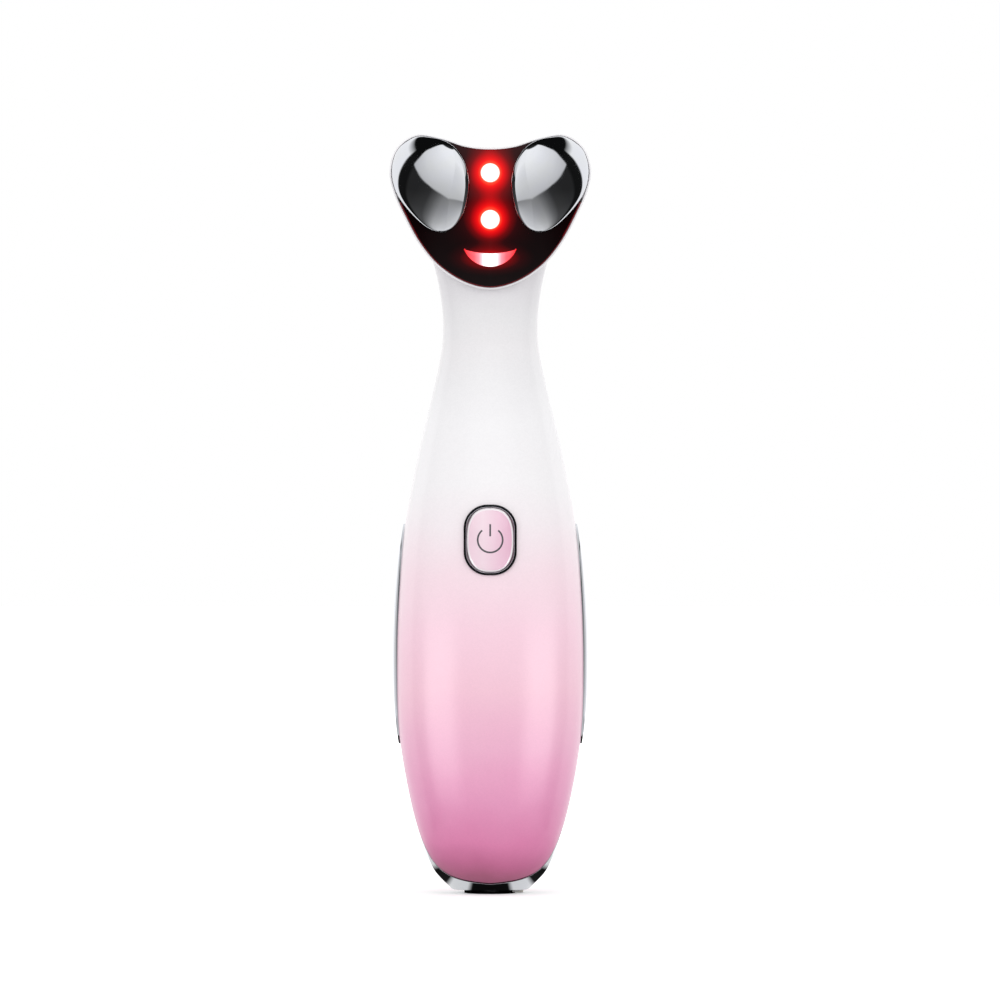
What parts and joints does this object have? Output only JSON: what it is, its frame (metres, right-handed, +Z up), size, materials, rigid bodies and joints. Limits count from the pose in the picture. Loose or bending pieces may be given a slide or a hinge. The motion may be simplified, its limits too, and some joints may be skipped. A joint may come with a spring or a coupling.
{
  "type": "microcurrent facial device",
  "caption": "Handheld microcurrent facial wand with a heart-shaped head, domed contact pads, side contact strips, an oval power button and a charging port in the chrome end.",
  "frame": {"origin": "centre of the foot ring's flat lower face, under the middle of the handle's belly", "axes": "+Z up the wand from the charging port to the head, front (button and pads) towards -Y, +X to the right as seen from the front"},
  "size_m": [0.0412, 0.0326, 0.155],
  "materials": {
    "pearl_pink_paint": "gloss",
    "pearl_white_paint": "gloss",
    "chrome_plate": "polished",
    "dark_chrome": "polished",
    "plated_plastic": "polished",
    "button_pink": "gloss",
    "dark_red_window": "polished",
    "lit_red": "satin",
    "smoked_lens": "gloss",
    "cream_silicone": "satin",
    "dark_plastic": "satin",
    "circuit_board": "satin",
    "chip_black": "matte",
    "steel": "satin",
    "spring_copper": "satin",
    "flat_cable": "satin",
    "battery_wrap": "gloss",
    "foam_black": "matte",
    "wire_insulation": "satin"
  },
  "bodies": {
    "case": {"front_shell": "pearl_pink_paint", "rear_shell": "pearl_pink_paint", "left_side_strip": "chrome_plate", "right_side_strip": "chrome_plate", "tail_cap": "plated_plastic", "port_ring": "chrome_plate", "port_cover_root": "cream_silicone", "charge_light_lens": "smoked_lens", "button_bezel": "dark_chrome", "switch_body": "chip_black", "head_housing": "pearl_white_paint", "face_window": "dark_red_window", "light_lenses": "lit_red", "smile_light_guide": "lit_red", "left_electrode": "chrome_plate", "right_electrode": "chrome_plate", "face_frame": "dark_plastic", "window_tape": "foam_black", "face_frame_screws": "steel", "electrode_screws": "steel", "electrode_contacts": "spring_copper", "light_board": "circuit_board", "face_leds": "lit_red", "head_flex_cable": "flat_cable", "main_board": "circuit_board", "board_parts": "chip_black", "inner_chassis": "dark_plastic", "chassis_screws": "steel", "battery_cell": "battery_wrap", "battery_foam": "foam_black", "battery_leads": "wire_insulation", "strip_contacts": "spring_copper", "motor_can": "steel", "motor_sleeve": "foam_black", "motor_leads": "wire_insulation", "dc_jack": "chip_black", "jack_pin": "spring_copper", "charge_board": "circuit_board", "charge_leads": "wire_insulation", "charge_led": "lit_red", "charge_led_leads": "steel"},
    "button": {"power_button": "button_pink"},
    "plunger": {"switch_plunger": "dark_plastic"},
    "motor_rotor": {"motor_shaft": "steel", "eccentric_weight": "spring_copper"},
    "cover": {"port_cover": "cream_silicone"}
  },
  "joints": [
    {"name": "button_press", "type": "slide", "parent": "case", "child": "button", "axis": [0, 1, 0], "range_m": [0, 0.0003], "stiffness_N_per_m": 5000},
    {"name": "plunger_press", "type": "slide", "parent": "case", "child": "plunger", "axis": [0, 1, 0], "range_m": [0, 0.0003]},
    {"name": "motor_spin", "type": "hinge", "parent": "case", "child": "motor_rotor", "pos_m": [0, -0.00051, 0.1], "axis": [0, 0, 1], "continuous": true},
    {"name": "port_cover_hinge", "type": "hinge", "parent": "case", "child": "cover", "pos_m": [0.00565, 0, 0.00015], "axis": [0, -1, 0], "range_deg": [0, 140]}
  ],
  "couplings": [
    {"joint": "plunger_press", "follows": "button_press", "ratio": 1}
  ]
}
